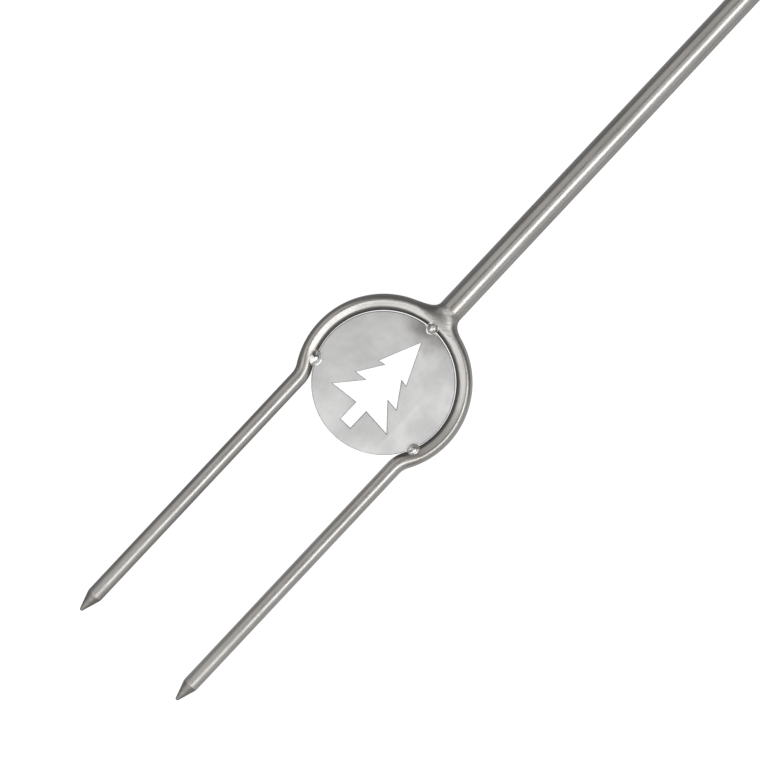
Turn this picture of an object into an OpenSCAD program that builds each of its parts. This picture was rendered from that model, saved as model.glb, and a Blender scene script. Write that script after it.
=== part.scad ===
// Two-prong roasting fork for a camp fire: a long round bar of stainless steel, a head of
// one bent wire with a pierced disc in its ring, and a turned wooden grip with a hanging loop.
// Millimetres. +X runs along the prongs to their tips, and +Z is up as the fork lies level.
// The origin is on the bar's axis, level with the roots of the straight prongs.

/* [Fork head] */
// Diameter of the wire that is bent into the ring and both prongs
wire_d = 4; // [3.2:0.1:4.8]
// Distance between the centre lines of the two prongs
prong_spacing = 32; // [26:0.5:38]
// Radius of the ring to the wire's centre line
ring_r = 19.75; // [18.5:0.25:25]
// Radius of the bend at each prong's root to the wire's centre line
root_bend_r = 7; // [5.5:0.5:9]
// Length of each prong from its root to its tip
prong_l = 77.5; // [50:0.5:120]
// Length of the ground point of each prong
point_l = 5; // [3:0.5:10]
// Diameter left at the very tip of each point
tip_d = 0.7; // [0.4:0.1:1.2]

/* [Disc] */
// Thickness of the disc
disc_t = 1.5; // [1:0.1:2.5]
// Gap between the disc and the ring on each side
disc_gap = 0.15; // [0.1:0.05:0.8]
// Distance of the disc's centre in front of the ring's
disc_forward = 0.1; // [0:0.05:1.5]
// Height of the tree that is cut through the disc, with its trunk
tree_h = 27; // [16:0.5:28]
// Width of the tree's lowest boughs
tree_w = 18; // [10:0.5:18]
// Height of the bare trunk
trunk_h = 5; // [2:0.5:7]
// Width of the trunk
trunk_w = 3.2; // [2:0.2:5]

/* [Welds] */
// Radius of each side tack weld's bead
tack_r = 1.3; // [1.1:0.05:1.7]
// Distance of each bead's middle outside the ring's inner edge
tack_lap = 0.3; // [0:0.05:0.6]
// Distance that the rear bead reaches over the disc's edge, at least
tack_bite = 0.25; // [0.1:0.05:0.5]
// Angle of the side tack welds forward of the ring's widest points
side_tack_angle = 23; // [10:1:26]
// Angle of the rear tack weld off the bar's line
rear_tack_angle = 1.2; // [0.6:0.2:6]
// Radius of the hollow sides of the weld between bar and ring
weld_fillet_r = 3; // [2:0.1:5]
// Thickness of the weld metal where it laps over the bar and the wire
weld_skin = 0.2; // [0.15:0.05:0.5]
// Gap between the bar's end and the ring, which weld metal fills
weld_gap = 0.15; // [0.1:0.05:1]

/* [Shaft] */
// Diameter of the round bar
shaft_d = 6.35; // [5.5:0.05:8]
// Length of the whole fork from the tips to the back of the end cap
overall_l = 813; // [600:1:1100]
// Diameter of the turned-down tang inside the handle
tang_d = 5; // [4.2:0.1:5.4]

/* [Handle] */
// Length of the wood that shows
grip_l = 124; // [100:1:160]
// Diameter of the grip at its widest
grip_d = 24; // [21:0.5:32]
// Distance of the grip's widest place from the end cap
swell_at = 52; // [30:1:90]
// Diameter of the ferrule and of the grip where they meet
neck_d = 17; // [14:0.5:20]
// Length of the ferrule
ferrule_l = 18; // [14:0.5:26]
// Length of the ferrule's solid tapered nose
nose_l = 6; // [4:0.5:8]
// Wall thickness of the ferrule around the wood
ferrule_wall = 1.2; // [0.8:0.1:2]
// Diameter of the cross pin through ferrule, wood and tang
pin_d = 2; // [1.5:0.1:2.4]
// Length of the end cap
cap_l = 12; // [10:0.5:18]
// Diameter of the end cap
cap_d = 19; // [16:0.5:20]

/* [Hanging loop] */
// Diameter of the loop's wire
loop_wire_d = 2; // [1.6:0.1:2.4]
// Length of the loop's straight legs
loop_leg_l = 8; // [6:0.5:16]
// Radius of the bends at the loop's two pivot ends to the wire's centre line
loop_bend_r = 1.6; // [1.5:0.1:2.5]
// Distance of the loop's pivot from the back of the end cap
pivot_setback = 4; // [3:0.1:4.5]
// Depth of each pivot hole
pivot_depth = 4; // [3:0.1:4.5]

/* [Clearances] */
// Between the disc and the root bends, at least
bend_gap = 0.1; // [0.05:0.05:0.5]
// Around each pivot end in its hole
pivot_gap = 0.06; // [0.02:0.01:0.1]
// Between the end cap and the loop's bends
loop_side_gap = 0.4; // [0.3:0.1:1]
// Around the tang in the wood's bore
tang_gap = 0.15; // [0.05:0.05:0.5]
// Around the bar and the wood's tenon in the ferrule
ferrule_gap = 0.05; // [0.02:0.01:0.2]
// Around the cross pin
pin_gap = 0.02; // [0.01:0.01:0.1]

/* [Hidden] */
$fn = 48;
over = 1;                                     // overrun of a cutting tool past a face
joint_back = 0.6;                             // how far inside its root bend a joint of the wire is
joint_gap = 0.2;                              // gap in the wire that the joint's ball fills
joint_skin = 0.05;                            // height of the ball over the wire

steel = "silver";
sheet = "lightgray";
weld = "darkgray";
wood = "peru";

// The head
wire_r = wire_d / 2;
shaft_r = shaft_d / 2;
prong_y = prong_spacing / 2;
ring_outer = ring_r + wire_r;
bend_y = prong_y + root_bend_r;               // centre of a root bend, beside its prong
ring_x = -sqrt(pow(ring_r + root_bend_r, 2) - pow(bend_y, 2));
ring_end = atan2(bend_y, -ring_x);            // angle on the ring where a root bend begins
root_turn = 90 - ring_end;
disc_x = ring_x + disc_forward;
bend_inside = sqrt(pow(disc_x, 2) + pow(bend_y, 2)) - root_bend_r - wire_r;
disc_r = min(ring_r - wire_r - disc_gap, bend_inside - bend_gap);
tack_ring_r = ring_r - wire_r + tack_lap;
rear_tack_r = max(tack_r, tack_ring_r - disc_r + disc_forward + tack_bite);

// The weld between bar and ring: each hollow side is an arc that just misses both of them
fillet_y = shaft_r + weld_skin + weld_fillet_r;
fillet_reach = ring_outer + weld_skin + weld_fillet_r;
fillet_x = ring_x - sqrt(pow(fillet_reach, 2) - pow(fillet_y, 2));
toe_y = fillet_y * (ring_outer + weld_skin) / fillet_reach;
ring_crest = ring_x - ring_r;                 // the wire's centre line behind the disc
ring_back = ring_x - ring_outer;
shaft_front = ring_back - weld_gap;

// The handle, from the back
cap_back = prong_l - overall_l;
cap_front = cap_back + cap_l;
ferrule_back = cap_front + grip_l;
ferrule_front = ferrule_back + ferrule_l;
tenon_front = ferrule_front - nose_l;
tenon_r = neck_d / 2 - ferrule_wall - ferrule_gap;
shoulder_x = ferrule_front - nose_l / 2;      // the bar's full diameter ends inside the nose
tang_back = cap_back + cap_l / 2;             // the tang's thread fills the cap's front half
pin_x = (ferrule_back + tenon_front) / 2;
pin_proud = 0.3;                              // height of each end of the pin outside the ferrule
swell_steps = 24;                             // rings of the grip's outline

// The loop
loop_r = loop_wire_d / 2;
pivot_x = cap_back + pivot_setback;
pivot_end = cap_d / 2 - pivot_depth + loop_side_gap;
leg_y = cap_d / 2 + loop_side_gap + loop_bend_r;
loop_reach = loop_leg_l + leg_y;              // from the pivot to the far side of the bow
loop_droop = asin((grip_d / 2 - loop_r) / loop_reach);  // the bow rests level with the grip

// A round bar along +X, from x0 to x1.
module bar(x0, x1, r) {
    translate([x0, 0, 0]) rotate([0, 90, 0]) cylinder(h = x1 - x0, r = r);
}

// A turned piece along +X, from an outline of [distance, radius] points.
module turned(outline) {
    rotate([0, 90, 0]) rotate_extrude() polygon([for (p = outline) [p[1], p[0]]]);
}

// A part of a torus in the XY plane about the origin, from +X round to an angle.
module bend(r, wire, angle) {
    rotate_extrude(angle = angle, $fn = 120) translate([r, 0]) circle(r = wire, $fn = 32);
}

// The angle that an arc of some length takes up at a radius.
function degrees(arc, r) = arc / r * 180 / PI;

module ring() {
    start = ring_end - degrees(joint_back - joint_gap / 2, ring_r);
    translate([ring_x, 0, 0]) rotate([0, 0, start]) bend(ring_r, wire_r, 360 - 2 * start);
}

module both_sides() {
    for (side = [0, 1]) mirror([0, side, 0]) children();
}

module disc_blank() {
    translate([disc_x, 0, -disc_t / 2]) cylinder(h = disc_t, r = disc_r);
}

// Closes the joint between a root bend, which ends at the origin, and the wire that runs on
// from it along +X.
module joint_ball() {
    translate([-joint_back, 0, 0]) rotate([0, 90, 0]) sphere(r = wire_r + joint_skin);
}

// One length of wire: prong, root bend, ring, root bend and prong.
module fork_wire() {
    shank_l = prong_l - point_l;
    trim = degrees(joint_back + joint_gap / 2, root_bend_r);
    color(steel) {
        ring();
        both_sides() {
            translate([ring_x + ring_r * cos(ring_end), ring_r * sin(ring_end), 0])
                rotate([0, 0, ring_end + 90]) joint_ball();
            translate([0, bend_y, 0]) rotate([0, 0, -90 - root_turn + trim])
                bend(root_bend_r, wire_r, root_turn - 2 * trim);
            translate([0, prong_y, 0]) joint_ball();
            translate([0, prong_y, 0]) bar(joint_gap / 2 - joint_back, shank_l, wire_r);
            translate([shank_l, prong_y, 0]) rotate([0, 90, 0])
                cylinder(h = point_l, r1 = wire_r, r2 = tip_d / 2);
        }
    }
}

// A tree in outline, its top towards -X: three tiers of boughs on a trunk.
module tree() {
    tiers = 3;
    overlap = 0.42;                           // share of each tier behind the one above
    notch = 0.08;                             // how far a tier's underside rises to the trunk
    tier_h = (tree_h - trunk_h) / (tiers - overlap * (tiers - 1));
    for (i = [0 : tiers - 1]) {
        top = -tree_h / 2 + i * tier_h * (1 - overlap);
        half_w = tree_w / 2 * (i + 2) / (tiers + 1);
        translate([top, 0])
            polygon([[0, 0], [tier_h, half_w], [tier_h * (1 - notch), 0], [tier_h, -half_w]]);
    }
    translate([0, -trunk_w / 2]) square([tree_h / 2, trunk_w]);
}

module emblem_disc() {
    color(sheet) difference() {
        disc_blank();
        translate([disc_x, 0, -disc_t]) linear_extrude(2 * disc_t) tree();
    }
}

// A bead on the disc's upper face against the ring, at an angle around the ring from +X.
module tack(angle, bead_r) {
    color(weld) difference() {
        translate([ring_x + tack_ring_r * cos(angle), tack_ring_r * sin(angle), disc_t / 2])
            sphere(r = bead_r);
        ring();
        disc_blank();
    }
}

module tack_weld_rear() { tack(180 + rear_tack_angle, rear_tack_r); }
module tack_weld_left() { tack(90 - side_tack_angle, tack_r); }
module tack_weld_right() { tack(side_tack_angle - 90, tack_r); }

// Weld metal between bar and ring, hollow-sided and ground down to the wire in front.
module shaft_weld() {
    bar_level = shaft_r + weld_skin;
    wire_level = wire_r + weld_skin;
    color(weld) difference() {
        intersection() {
            rotate([0, 90, 0]) rotate_extrude() difference() {
                translate([0, fillet_x]) square([toe_y, ring_crest - fillet_x]);
                translate([fillet_y, fillet_x]) circle(r = weld_fillet_r);
            }
            rotate([90, 0, 0]) linear_extrude(4 * toe_y, center = true)
                polygon([[fillet_x - over, bar_level], [shaft_front, bar_level],
                         [ring_crest, wire_level], [ring_crest + over, wire_level],
                         [ring_crest + over, -wire_level], [ring_crest, -wire_level],
                         [shaft_front, -bar_level], [fillet_x - over, -bar_level]]);
        }
        bar(fillet_x - over, shaft_front, shaft_r);
        ring();
    }
}

// The bar, butted against the ring in front and turned down to a tang in the handle.
module shaft() {
    color(steel) difference() {
        union() {
            bar(shoulder_x, shaft_front, shaft_r);
            bar(tang_back, shoulder_x, tang_d / 2);
        }
        pin_hole();
    }
}

module pin_hole() {
    translate([pin_x, 0, 0]) cylinder(h = neck_d + 2 * over, r = pin_d / 2 + pin_gap, center = true);
}

// Cup over the front of the grip, with a solid nose that the bar's shoulder seats in.
module ferrule() {
    neck_r = neck_d / 2;
    lip = 1.4;                                // metal around the bar at the very front
    color(steel) difference() {
        turned([[ferrule_back, 0], [ferrule_back, neck_r], [tenon_front, neck_r],
                [ferrule_front, shaft_r + lip], [ferrule_front, 0]]);
        bar(ferrule_back - over, tenon_front, tenon_r + ferrule_gap);
        bar(ferrule_back, shoulder_x, tang_d / 2 + ferrule_gap);
        bar(shoulder_x, ferrule_front + over, shaft_r + ferrule_gap);
        pin_hole();
    }
}

module ferrule_pin() {
    color(steel) translate([pin_x, 0, 0])
        cylinder(h = neck_d + 2 * pin_proud, r = pin_d / 2, center = true);
}

// Radius of the grip at a distance s in front of the end cap: a round swell, then a slow
// run down to the neck.
function swell_r(s) = s < swell_at
    ? cap_d / 2 + (grip_d - cap_d) / 2 * sin(90 * s / swell_at)
    : neck_d / 2 + (grip_d - neck_d) / 4 * (1 + cos(180 * (s - swell_at) / (grip_l - swell_at)));

module grip() {
    color(wood) difference() {
        turned(concat(
            [[cap_front, 0]],
            [for (i = [0 : swell_steps])
                [cap_front + grip_l * i / swell_steps, swell_r(grip_l * i / swell_steps)]],
            [[ferrule_back, tenon_r], [tenon_front, tenon_r], [tenon_front, 0]]));
        bar(cap_front - over, tenon_front + over, tang_d / 2 + tang_gap);
        pin_hole();
    }
}

// End cap, screwed on the tang and drilled on each side for the hanging loop.
module end_cap() {
    edge = 2.4;                               // length of the rounded back edge
    color(steel) difference() {
        turned([[cap_front, 0], [cap_front, cap_d / 2], [cap_back + edge, cap_d / 2],
                [cap_back + edge * (1 - cos(45)), cap_d / 2 - edge * (1 - sin(45))],
                [cap_back, cap_d / 2 - edge], [cap_back, 0]]);
        bar(tang_back, cap_front + over, tang_d / 2);
        both_sides() translate([pivot_x, cap_d / 2 - pivot_depth, 0]) rotate([-90, 0, 0])
            cylinder(h = pivot_depth + over, r = loop_r + pivot_gap);
    }
}

// Wire loop with two inward pivot ends, drooping until its bow is as low as the grip.
module hanging_loop() {
    color(steel) translate([pivot_x, 0, 0]) rotate([0, -loop_droop, 0]) {
        both_sides() {
            translate([0, pivot_end, 0]) rotate([-90, 0, 0])
                cylinder(h = leg_y - loop_bend_r - pivot_end, r = loop_r);
            translate([-loop_bend_r, leg_y - loop_bend_r, 0]) bend(loop_bend_r, loop_r, 90);
            translate([0, leg_y, 0]) bar(-loop_leg_l, -loop_bend_r, loop_r);
        }
        translate([-loop_leg_l, 0, 0]) rotate([0, 0, 90]) bend(leg_y, loop_r, 180);
    }
}

fork_wire();
emblem_disc();
tack_weld_rear();
tack_weld_left();
tack_weld_right();
shaft_weld();
shaft();
ferrule();
ferrule_pin();
grip();
end_cap();
hanging_loop();
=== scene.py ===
import math

import bmesh
import bpy
import numpy as np
from mathutils import Matrix, Vector


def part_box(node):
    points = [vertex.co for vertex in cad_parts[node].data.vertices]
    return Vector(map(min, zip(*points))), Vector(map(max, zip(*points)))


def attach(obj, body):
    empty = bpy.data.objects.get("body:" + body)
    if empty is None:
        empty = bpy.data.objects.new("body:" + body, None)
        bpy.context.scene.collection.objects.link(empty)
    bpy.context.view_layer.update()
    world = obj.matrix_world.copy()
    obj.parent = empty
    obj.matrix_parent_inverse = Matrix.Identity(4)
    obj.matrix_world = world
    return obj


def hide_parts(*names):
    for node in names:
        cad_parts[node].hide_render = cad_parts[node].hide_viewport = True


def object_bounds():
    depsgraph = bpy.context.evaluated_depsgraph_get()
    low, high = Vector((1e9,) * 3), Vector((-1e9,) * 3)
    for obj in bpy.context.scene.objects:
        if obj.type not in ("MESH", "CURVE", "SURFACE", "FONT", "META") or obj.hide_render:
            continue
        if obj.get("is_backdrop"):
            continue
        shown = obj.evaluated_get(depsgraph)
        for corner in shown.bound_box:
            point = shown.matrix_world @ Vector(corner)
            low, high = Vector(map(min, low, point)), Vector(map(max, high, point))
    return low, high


# Looks of a two-prong roasting fork: a bent wire head with a pierced disc in its ring, a long
# round bar, and a turned wooden grip with a ferrule, an end cap and a hanging loop.
# Metres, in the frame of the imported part: +X runs to the prong tips, and +Z is up.

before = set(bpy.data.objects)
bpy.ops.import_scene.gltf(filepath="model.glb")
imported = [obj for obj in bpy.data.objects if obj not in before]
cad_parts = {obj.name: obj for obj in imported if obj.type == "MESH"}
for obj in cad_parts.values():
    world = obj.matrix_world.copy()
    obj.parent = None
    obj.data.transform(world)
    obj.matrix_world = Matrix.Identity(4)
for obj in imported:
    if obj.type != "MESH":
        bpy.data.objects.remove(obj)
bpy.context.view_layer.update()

MM = 0.001
AROUND = 96                      # sides of a round piece
BESIDE = 0.25 * MM               # from a rounded corner to the point beside it
X_AXIS, Y_AXIS, Z_AXIS = np.eye(3)


# ---- Sizes -----------------------------------------------------------------------------

RING_R = 19.75 * MM              # ring, to the middle of its wire
PRONG_Y = 16 * MM                # each prong, from the fork's middle line
ROOT_BEND_R = 7 * MM
POINT_L = 5 * MM
TIP_R = 0.35 * MM
DOME_L = 0.25 * MM               # rounded end of each point
SHOULDER = 0.3 * MM              # where a point's cone runs into the wire
FLAT_LEAN = math.radians(14)     # lean of the ring's dressed flats towards the disc
FLAT_HEIGHT = 0.91               # of a flat above the wire's middle, as a share of its radius
THICKER = 0.1                    # growth of the ring's outer half, as a share of its radius

low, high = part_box("fork_wire")
prong_tip = high.x
wire_r = high.y - RING_R
ring_x = low.x + RING_R + wire_r
bend_y = PRONG_Y + ROOT_BEND_R
ring_crest = ring_x - RING_R     # middle of the wire at the back of the ring
ring_end = math.atan2(bend_y, -ring_x)
root_turn = math.pi / 2 - ring_end

NECK_L = 2.2 * MM                # ground-down front end of the bar
DISC_EDGE = 0.28 * MM            # broken edges of the disc and its cut-out
low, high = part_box("emblem_disc")
disc_x = (low.x + high.x) / 2
disc_r = high.y
disc_half = high.z

low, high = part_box("shaft")
bar_r = high.z
bar_front = high.x
tang_back = low.x
TANG_R = 2.5 * MM

FERRULE_WALL = 1.2 * MM
NOSE_L = 6 * MM
NOSE_LIP = 1.4 * MM
FIT_GAP = 0.05 * MM
low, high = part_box("ferrule")
ferrule_back = low.x
ferrule_front = high.x
neck_r = high.z
nose_back = ferrule_front - NOSE_L
shoulder_x = ferrule_front - NOSE_L / 2

low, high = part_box("ferrule_pin")
pin_x = (low.x + high.x) / 2
pin_r = high.y
pin_top = high.z

low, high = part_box("end_cap")
cap_back = low.x
cap_front = high.x
cap_r = high.z
CAP_EDGE = 2.4 * MM

SWELL_AT = 52 * MM               # widest place of the grip, from the end cap
BORE_R = 2.65 * MM
low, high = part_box("grip")
grip_r = high.z
tenon_front = high.x
tenon_r = neck_r - FERRULE_WALL - FIT_GAP

LOOP_WIRE_R = 1 * MM
LOOP_BEND_R = 1.6 * MM
PIVOT_DEPTH = 3.6 * MM           # of each pivot end inside the cap
low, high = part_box("hanging_loop")
pivot_x = high.x - LOOP_WIRE_R
leg_y = high.y - LOOP_WIRE_R
bow_drop = -low.z - LOOP_WIRE_R
bow_back = pivot_x - LOOP_WIRE_R - low.x
loop_reach = math.hypot(bow_back, bow_drop)
loop_droop = math.atan2(bow_drop, bow_back)


# ---- Mesh making -----------------------------------------------------------------------

def smooth_object(name, mesh, sharp=35):
    """Links a mesh as an object, smooth but for edges sharper than an angle in degrees."""
    mesh.polygons.foreach_set("use_smooth", [True] * len(mesh.polygons))
    mesh.set_sharp_from_angle(angle=math.radians(sharp))
    made = bpy.data.objects.new(name, mesh)
    bpy.context.scene.collection.objects.link(made)
    return made


def tube(name, rings, run):
    """A closed tube through rings of points. run is each ring's distance along the tube, and the
    UV map "run" holds that and the distance around, both in metres."""
    rings = np.asarray(rings)
    rings = np.concatenate([rings, rings[:, :1]], axis=1)
    count, wide = rings.shape[:2]
    step = np.linalg.norm(np.diff(rings, axis=1), axis=2)
    girth = np.concatenate([np.zeros((count, 1)), np.cumsum(step, axis=1)], axis=1)
    uv = np.stack([np.repeat(run, wide), girth.ravel()], axis=1)
    faces = [
        (i * wide + j, i * wide + j + 1, (i + 1) * wide + j + 1, (i + 1) * wide + j)
        for i in range(count - 1)
        for j in range(wide - 1)
    ]
    mesh = bpy.data.meshes.new(name)
    mesh.from_pydata(rings.reshape(-1, 3).tolist(), [], faces)
    corners = np.zeros(len(mesh.loops), int)
    mesh.loops.foreach_get("vertex_index", corners)
    mesh.uv_layers.new(name="run").uv.foreach_set("vector", uv[corners].astype(np.float32).ravel())
    work = bmesh.new()
    work.from_mesh(mesh)
    bmesh.ops.remove_doubles(work, verts=work.verts, dist=0.0005 * MM)
    bmesh.ops.holes_fill(work, edges=[e for e in work.edges if e.is_boundary], sides=0)
    bmesh.ops.recalc_face_normals(work, faces=work.faces)
    work.to_mesh(mesh)
    work.free()
    return smooth_object(name, mesh)


def along(points):
    """Each point's distance along its line."""
    return np.concatenate([[0], np.cumsum(np.linalg.norm(np.diff(points, axis=0), axis=1))])


def eased(outline):
    """(x, r, ease) corners made into points, each corner rounded off over its ease. A point
    beside each rounding keeps the straight runs shaded straight."""
    rounded = []
    for i, (x, r, ease) in enumerate(outline):
        corner = np.array([x, r])
        if ease == 0:
            rounded.append(corner)
            continue
        ways = [np.array(neighbour[:2]) - corner for neighbour in (outline[i - 1], outline[i + 1])]
        ways = [way / np.linalg.norm(way) for way in ways]
        ends = [corner + way * ease for way in ways]
        rounded.append(ends[0] + ways[0] * BESIDE)
        for t in np.linspace(0, 1, 7):
            rounded.append((1 - t) ** 2 * ends[0] + 2 * t * (1 - t) * corner + t ** 2 * ends[1])
        rounded.append(ends[1] + ways[1] * BESIDE)
    return np.array(rounded)


def turned(name, outline, axis=X_AXIS, beside=Y_AXIS, origin=(0, 0, 0)):
    """A piece turned about an axis from (distance, radius, ease) corners."""
    outline = eased(outline)
    angle = np.linspace(0, 2 * math.pi, AROUND, endpoint=False)
    circle = np.outer(np.cos(angle), beside) + np.outer(np.sin(angle), np.cross(axis, beside))
    rings = [np.array(origin) + x * axis + r * circle for x, r in outline]
    return tube(name, rings, along(outline))


def melted(name, field, centre, half, cell):
    """The surface where a field of signed distances is zero, within a box, as a net of quads."""
    axes = [np.arange(c - h, c + h + cell, cell) for c, h in zip(centre, half)]
    grid = np.stack(np.meshgrid(*axes, indexing="ij"), axis=-1)
    value = field(grid)
    number = np.arange(value.size).reshape(value.shape)
    total = np.zeros(grid.shape)
    hits = np.zeros(value.shape)
    quads = []
    for axis in range(3):
        here = [slice(None)] * 3
        ahead = [slice(None)] * 3
        here[axis] = slice(None, -1)
        ahead[axis] = slice(1, None)
        a, b = value[tuple(here)], value[tuple(ahead)]
        crossing = np.argwhere((a < 0) != (b < 0))
        at = tuple(crossing.T)
        place = grid[at].copy()
        place[:, axis] += cell * a[at] / (a[at] - b[at])
        u, v = (axis + 1) % 3, (axis + 2) % 3
        around = []
        for back_u, back_v in ((0, 0), (1, 0), (1, 1), (0, 1)):
            owner = crossing.copy()
            owner[:, u] -= back_u
            owner[:, v] -= back_v
            np.add.at(total, tuple(owner.T), place)
            np.add.at(hits, tuple(owner.T), 1)
            around.append(number[tuple(owner.T)])
        quad = np.stack(around, axis=1)
        entering = a[at] >= 0
        quad[entering] = quad[entering][:, ::-1]
        quads.append(quad)
    used, flat = np.unique(np.concatenate(quads), return_inverse=True)
    points = total.reshape(-1, 3)[used] / hits.reshape(-1, 1)[used]
    for _ in range(4):
        points = points - step_to(field, points, cell)
    mesh = bpy.data.meshes.new(name)
    mesh.from_pydata(points.tolist(), [], flat.reshape(-1, 4).tolist())
    return smooth_object(name, mesh, sharp=60)


def step_to(field, points, cell):
    """The way from each point to the field's zero surface, half a cell at most."""
    tiny = 0.002 * MM
    here = field(points)
    slope = [(field(points + tiny * axis) - here) / tiny for axis in (X_AXIS, Y_AXIS, Z_AXIS)]
    slope = np.stack(slope, axis=1)
    step = here / np.maximum((slope ** 2).sum(1), 0.1)
    return np.clip(step, -cell / 2, cell / 2)[:, None] * slope


def blended(a, b, reach):
    """Two distances run together like molten metal over a reach."""
    share = np.clip(0.5 + 0.5 * (b - a) / reach, 0, 1)
    return b * (1 - share) + a * share - reach * share * (1 - share)


def eased_step(x, start, end):
    t = np.clip((x - start) / (end - start), 0, 1)
    return t * t * (3 - 2 * t)


def crossing_point(a, b, c, d):
    """Where the line from a to b meets the line from c to d."""
    a, b, c, d = (np.array(p, float) for p in (a, b, c, d))
    share = np.linalg.solve(np.stack([b - a, c - d], axis=1), c - a)[0]
    return tuple(a + (b - a) * share)


# ---- The head --------------------------------------------------------------------------

def head_line():
    """The head wire's middle line from tip to tip, with the direction towards the inside of the
    ring and how fully each place was dressed with the ring."""
    left = np.concatenate([
        DOME_L * np.linspace(0, 1, 8) ** 2,
        np.linspace(DOME_L, POINT_L - SHOULDER, 12)[1:],
        np.linspace(POINT_L - SHOULDER, POINT_L + SHOULDER, 8)[1:],
        np.linspace(POINT_L + SHOULDER, prong_tip, 70)[1:-1],
    ])
    prong = np.stack([prong_tip - left, np.full_like(left, PRONG_Y)], axis=1)
    sweep = np.linspace(0, root_turn, 24, endpoint=False)
    root = np.stack([-np.sin(sweep), -np.cos(sweep)], axis=1)
    arc = np.linspace(ring_end, math.pi, 140)
    ring = np.stack([np.cos(arc), np.sin(arc)], axis=1)
    half = np.concatenate([prong, root * ROOT_BEND_R + [0, bend_y], ring * RING_R + [ring_x, 0]])
    inward = np.concatenate([np.tile([0.0, -1.0], (len(prong), 1)), root, -ring])
    dressed = np.zeros(len(half))
    dressed[-len(arc):] = eased_step(arc, ring_end, ring_end + math.radians(14))
    mirror = [1, -1]
    line = np.concatenate([half, half[-2::-1] * mirror])
    inward = np.concatenate([inward, inward[-2::-1] * mirror])
    return line, inward, np.concatenate([dressed, dressed[-2::-1]])


def wire_section(angle, dressed):
    """Radius and thickening of the head wire at angles from the outside of the ring. Where the
    ring was dressed, each face has a narrow flat that leans inward."""
    radius = np.full_like(angle, wire_r)
    for face in (1, -1):
        facing = np.cos(angle - face * (math.pi / 2 + FLAT_LEAN))
        flat = FLAT_HEIGHT * wire_r / np.maximum(facing, 0.3)
        radius = blended(radius, flat, 0.1 * wire_r)
    radius = np.minimum(radius, wire_r)
    return wire_r + (radius - wire_r) * dressed, 1 + THICKER * dressed * np.cos(angle)


def point_width(left):
    """Width of a prong at a distance from its tip, as a share of the full wire."""
    width = blended(wire_r, TIP_R + (wire_r - TIP_R) * left / POINT_L, 0.05 * wire_r)
    if left < DOME_L:
        width *= math.sqrt(max(1 - (1 - left / DOME_L) ** 2, 0.01))
    return min(width / wire_r, 1)


def make_bent_wire():
    line, inward, dressed = head_line()
    angle = np.linspace(0, 2 * math.pi, AROUND, endpoint=False)
    rings = []
    for (x, y), (in_x, in_y), share in zip(line, inward, dressed):
        radius, thickening = wire_section(angle, share)
        ring = np.outer(radius * np.cos(angle), [-in_x, -in_y, 0])
        ring += np.outer(radius * thickening * np.sin(angle), Z_AXIS)
        rings.append(ring * point_width(prong_tip - x) + [x, y, 0])
    return tube("bent_wire", rings, along(line))


def ring_field(p):
    """Distance from the dressed ring."""
    outward = np.hypot(p[..., 0] - ring_x, p[..., 1]) - RING_R
    thickening = wire_section(np.arctan2(p[..., 2], outward), 1)[1]
    level = p[..., 2] / thickening
    return np.hypot(outward, level) - wire_section(np.arctan2(level, outward), 1)[0]


def disc_field(p):
    from_rim = np.hypot(p[..., 0] - disc_x, p[..., 1]) - disc_r
    return np.maximum(from_rim, np.abs(p[..., 2]) - disc_half)


def bar_field(p):
    """Distance from the bar, whose front end is flattened to run into the ring."""
    flatter = 1 + 0.75 * eased_step(p[..., 0], bar_front - NECK_L, ring_crest)
    from_side = np.hypot(p[..., 1], p[..., 2] * flatter) - bar_r
    return np.maximum(from_side, p[..., 0] - ring_crest)


def joined(a, b, reach, depth):
    """Weld metal that fills the corner of a and b and bites into both to a depth."""
    feather = 0.012 * MM
    metal = blended(a, b, reach) + feather
    return np.maximum(metal, np.maximum(-a - depth, -b - depth))


def make_shaft_weld():
    back, side, front = 39.2 * MM, 9.2 * MM, 0.7 * MM

    def field(p):
        # The hollow runs further along the ring than along the bar, and most so on the right.
        along_ring = 0.6 + 0.12 * np.tanh(p[..., 1] / (3 * MM))
        weld = joined(ring_field(p), bar_field(p) * along_ring, 2.6 * MM, 1.2 * MM)
        past = np.maximum(np.abs(p[..., 1]) - side, p[..., 0] - ring_crest - front)
        return np.maximum(weld, np.maximum(past, -p[..., 0] - back))

    centre = ((-back + ring_crest) / 2, 0, 0)
    half = ((back + ring_crest) / 2 + 2 * MM, side + MM, 4 * MM)
    return melted("shaft_weld_boot", field, centre, half, 0.13 * MM)


def tack_place(node):
    """The middle of a tack bead, with the directions along the ring and out from its middle."""
    low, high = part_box(node)
    middle = (low + high) / 2
    out = np.array([middle.x - ring_x, middle.y, 0])
    out /= np.linalg.norm(out)
    place = np.array([ring_x, 0, disc_half + 0.15 * MM]) + out * (RING_R - wire_r + 0.25 * MM)
    return place, np.cross(Z_AXIS, out), out


# Each tack bead's half sizes along the ring, outwards and up, its shrink hole's radius, and that
# hole's place from the bead's middle in the same directions.
TACKS = {
    "tack_weld_rear": {
        "size": Vector((1.15, 1.45, 1.35)) * MM,
        "hole_r": 0.35 * MM,
        "hole_at": Vector((1.1, 0.3, 1.4)) * MM,
    },
    "tack_weld_left": {
        "size": Vector((1.4, 1.2, 1.15)) * MM,
        "hole_r": 0.5 * MM,
        "hole_at": Vector((-0.6, -0.4, 1.1)) * MM,
    },
    "tack_weld_right": {
        "size": Vector((1.75, 1.45, 1.2)) * MM,
        "hole_r": 0.75 * MM,
        "hole_at": Vector((-1.0, 0, 0.9)) * MM,
    },
}


def shrink_hole(node):
    """The middle of a tack bead's shrink hole."""
    place, tangent, out = tack_place(node)
    t, o, z = TACKS[node]["hole_at"]
    return place + tangent * t + out * o + Z_AXIS * z


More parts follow.
